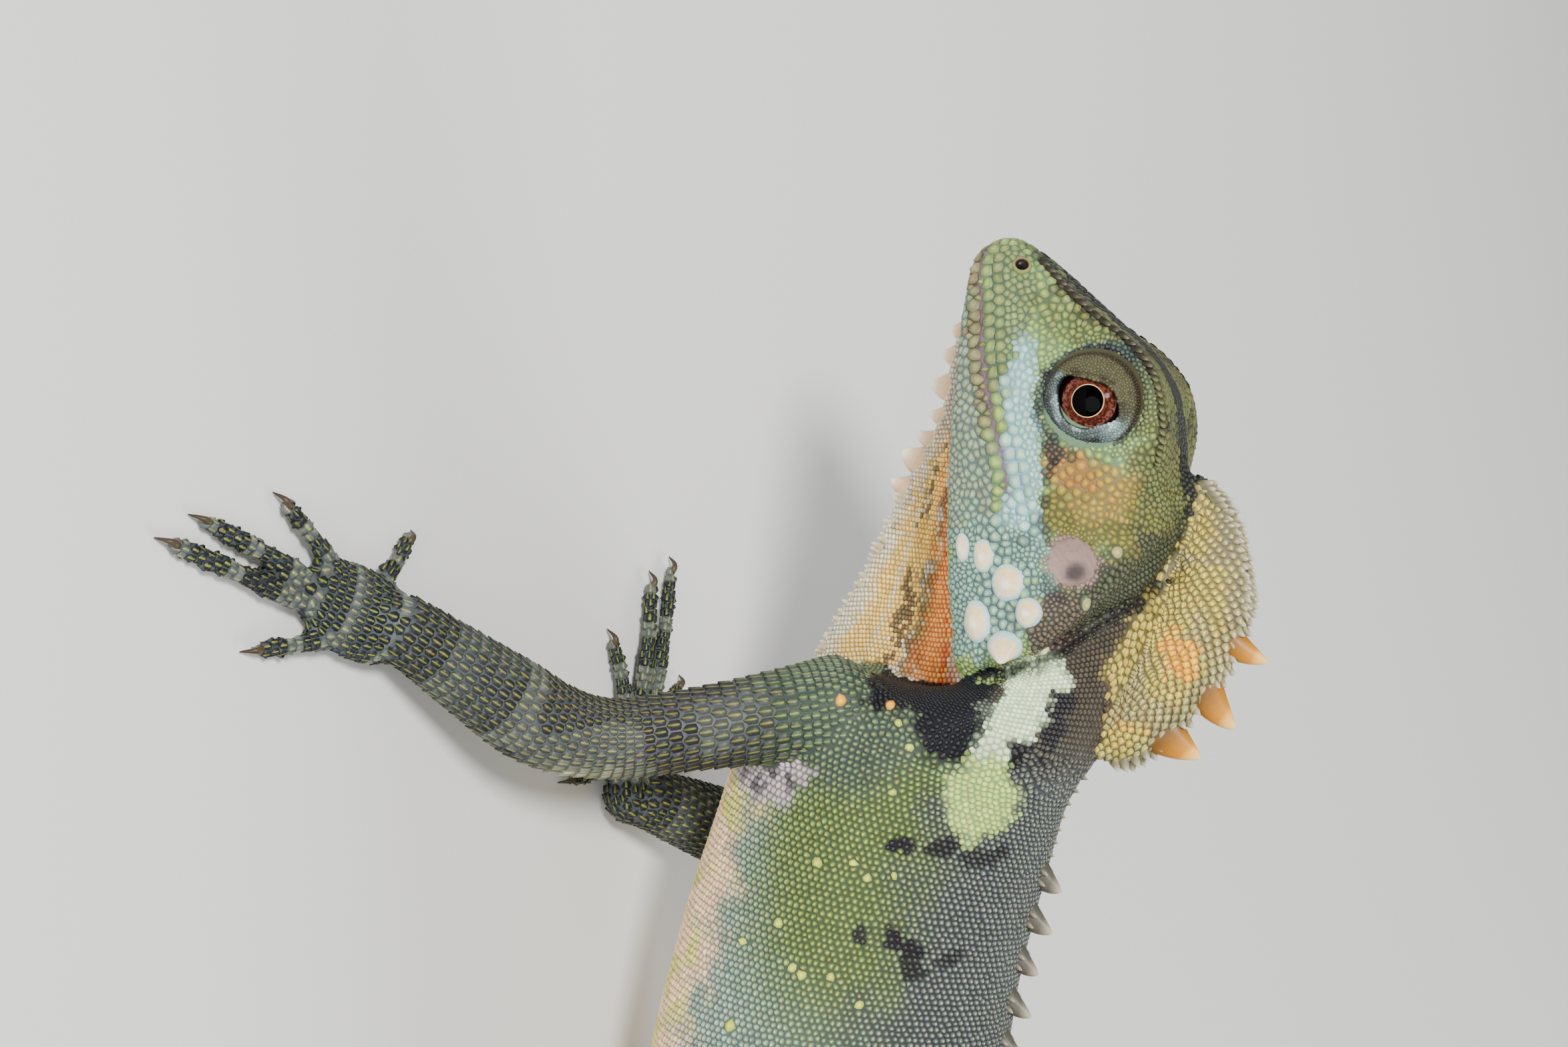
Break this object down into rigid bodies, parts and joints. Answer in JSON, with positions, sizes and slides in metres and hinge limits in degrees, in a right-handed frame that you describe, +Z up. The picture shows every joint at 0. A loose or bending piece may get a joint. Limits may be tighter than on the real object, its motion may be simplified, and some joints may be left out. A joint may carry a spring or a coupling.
{
  "type": "forest dragon lizard, still model",
  "caption": "Life-size still model of an adult male forest dragon standing with its head raised, dewlap and nape crest spread.",
  "frame": {"origin": "on the floor, below the middle of the whole animal's box", "axes": "+X from the snout towards the tip of the tail, -Y to the animal's left, +Z up"},
  "size_m": [0.4468, 0.1306, 0.0682],
  "materials": {
    "head_skin": "satin scaled skin, yellow green to pale turquoise",
    "eye": "wet gloss, red-brown iris",
    "dewlap_skin": "satin pleated skin, orange and rust",
    "neck_skin": "satin scaled skin, brown with a black patch",
    "crest_skin": "satin scaled skin with orange horn spines",
    "trunk_skin": "satin granular skin, green and grey-blue",
    "tail_skin": "satin keeled skin, brown bands",
    "limb_skin": "satin keeled skin, olive brown",
    "paw_skin": "satin keeled skin, dark grey, small claws"
  },
  "bodies": {
    "root": {"head": "head_skin", "eye_left": "eye", "eye_right": "eye", "dewlap": "dewlap_skin", "neck": "neck_skin", "nuchal_crest": "crest_skin", "torso": "trunk_skin", "tail_1": "tail_skin", "tail_2": "tail_skin", "tail_3": "tail_skin", "tail_4": "tail_skin", "tail_5": "tail_skin", "upper_arm_left": "limb_skin", "forearm_left": "limb_skin", "thigh_left": "limb_skin", "shank_left": "limb_skin", "hand_left": "paw_skin", "foot_left": "paw_skin", "upper_arm_right": "limb_skin", "forearm_right": "limb_skin", "thigh_right": "limb_skin", "shank_right": "limb_skin", "hand_right": "paw_skin", "foot_right": "paw_skin"}
  },
  "joints": []
}
